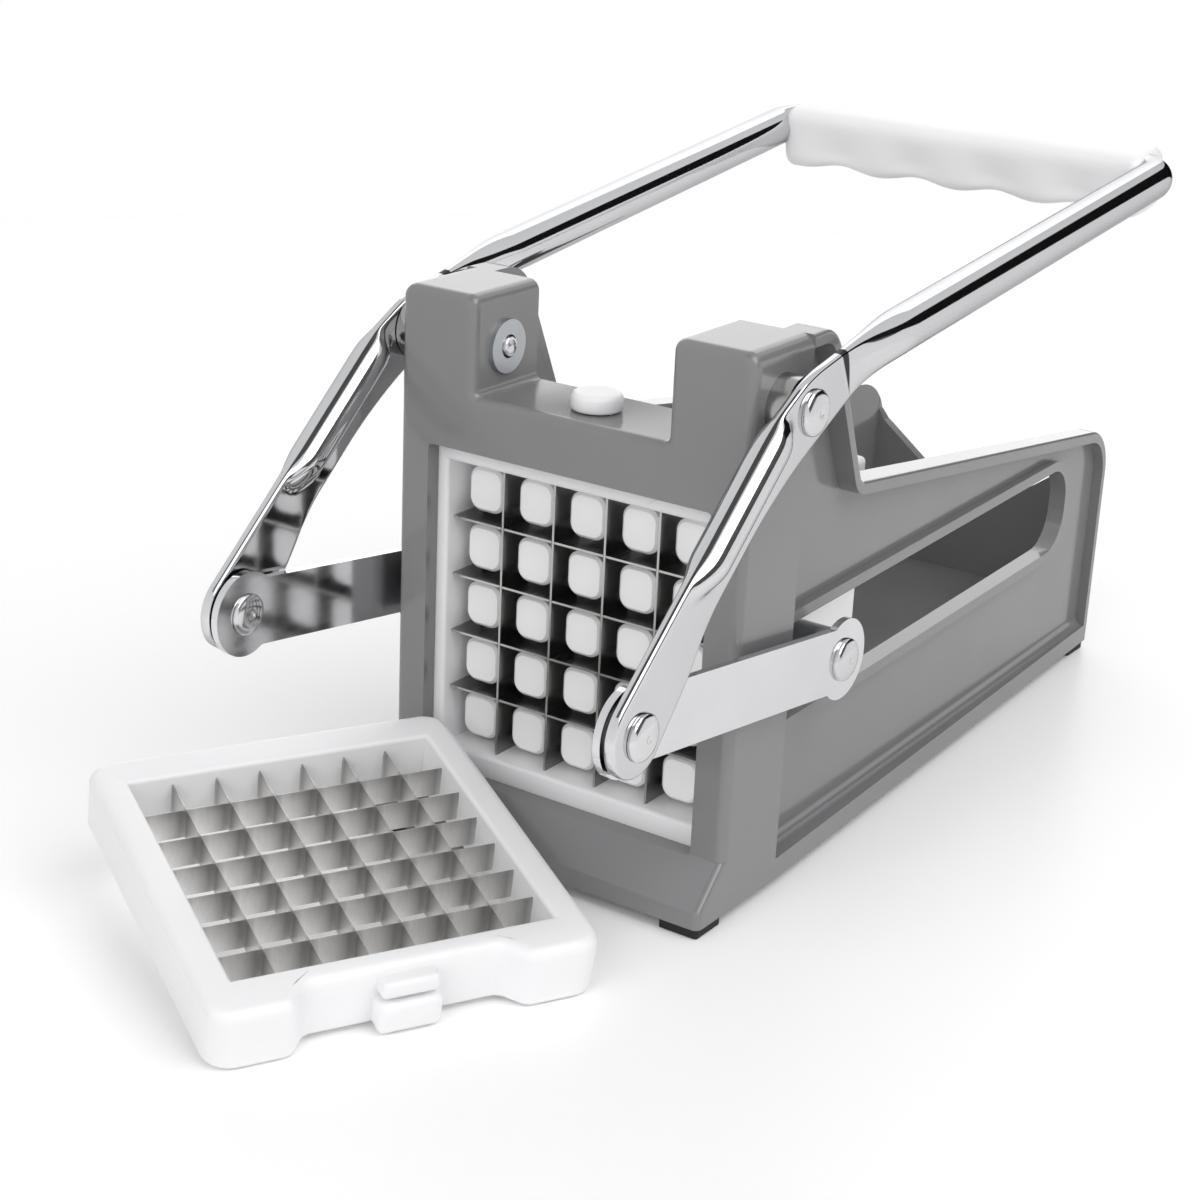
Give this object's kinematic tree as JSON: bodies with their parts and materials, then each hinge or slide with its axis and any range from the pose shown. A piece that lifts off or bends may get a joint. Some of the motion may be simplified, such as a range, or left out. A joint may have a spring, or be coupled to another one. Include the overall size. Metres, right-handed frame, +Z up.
{
  "type": "french fry cutter",
  "caption": "Kitchen cutter with a long lever that drives a pusher block along a slotted trough and presses a potato through a square blade grid; a finer spare cassette leans in front.",
  "frame": {"origin": "centre of the whole set's footprint (machine and spare cassette), on the table", "axes": "+Z up, +Y from the blade window towards the rear of the trough, +X to the machine's side seen on the right when the window faces the viewer"},
  "size_m": [0.1278, 0.3114, 0.1424],
  "materials": {
    "axle_steel": "turned steel",
    "blade_steel": "fine brushed, ground edges",
    "body_grey": "satin moulded grey",
    "cassette_white": "satin moulded white",
    "foot_rubber": "matte black",
    "grip_white": "satin moulded white",
    "knob_white": "satin moulded white",
    "lever_chrome": "polished plating",
    "link_chrome": "polished plating",
    "pusher_white": "satin moulded white",
    "rivet_chrome": "polished plating",
    "sleeve_white": "moulded",
    "zinc": "zinc plated"
  },
  "bodies": {
    "base": {"housing": "body_grey", "front_feet": "foot_rubber", "rear_feet": "foot_rubber", "coarse_cassette_frame": "cassette_white", "coarse_blades_vertical": "blade_steel", "coarse_blades_horizontal": "blade_steel", "pivot_washers": "zinc", "pivot_spacers": "zinc"},
    "lever": {"lever_tube": "lever_chrome", "handle_grip": "grip_white", "pivot_rivets": "rivet_chrome"},
    "link_right": {"right_link": "link_chrome", "right_crank_rivet": "rivet_chrome", "right_crank_washer": "zinc", "right_axle_rivet": "rivet_chrome"},
    "link_left": {"left_link": "link_chrome", "left_crank_rivet": "rivet_chrome", "left_crank_washer": "zinc", "left_axle_rivet": "rivet_chrome"},
    "pusher": {"pusher_block": "pusher_white", "pusher_axle": "axle_steel", "axle_sleeves": "sleeve_white"},
    "knob": {"lock_knob": "knob_white"},
    "spare_cassette": {"fine_cassette_frame": "cassette_white", "fine_blades_lengthwise": "blade_steel", "fine_blades_crosswise": "blade_steel"}
  },
  "joints": [
    {"name": "lever_pivot", "type": "hinge", "parent": "base", "child": "lever", "pos_m": [0.00675, -0.03726, 0.1103], "axis": [1, 0, 0], "range_deg": [0, 105]},
    {"name": "right_link_pivot", "type": "hinge", "parent": "lever", "child": "link_right", "pos_m": [0.05345, -0.09366, 0.0604], "axis": [1, 0, 0], "range_deg": [-110.73, 0]},
    {"name": "left_link_pivot", "type": "hinge", "parent": "lever", "child": "link_left", "pos_m": [-0.03995, -0.09366, 0.0604], "axis": [1, 0, 0], "range_deg": [-110.73, 0]},
    {"name": "pusher_slide", "type": "slide", "parent": "base", "child": "pusher", "axis": [0, 1, 0], "range_m": [0, 0.11768]},
    {"name": "knob_lift", "type": "slide", "parent": "base", "child": "knob", "axis": [0, 0, 1], "range_m": [0, 0.006]},
    {"name": "spare_cassette_slide", "type": "slide", "parent": "base", "child": "spare_cassette", "axis": [0, -1, 0], "range_m": [0, 0.06]}
  ],
  "couplings": [
    {"joint": "right_link_pivot", "follows": "lever_pivot", "ratio": -1.0546},
    {"joint": "left_link_pivot", "follows": "lever_pivot", "ratio": -1.0546},
    {"joint": "pusher_slide", "follows": "lever_pivot", "m_per_rad": 0.064214}
  ]
}
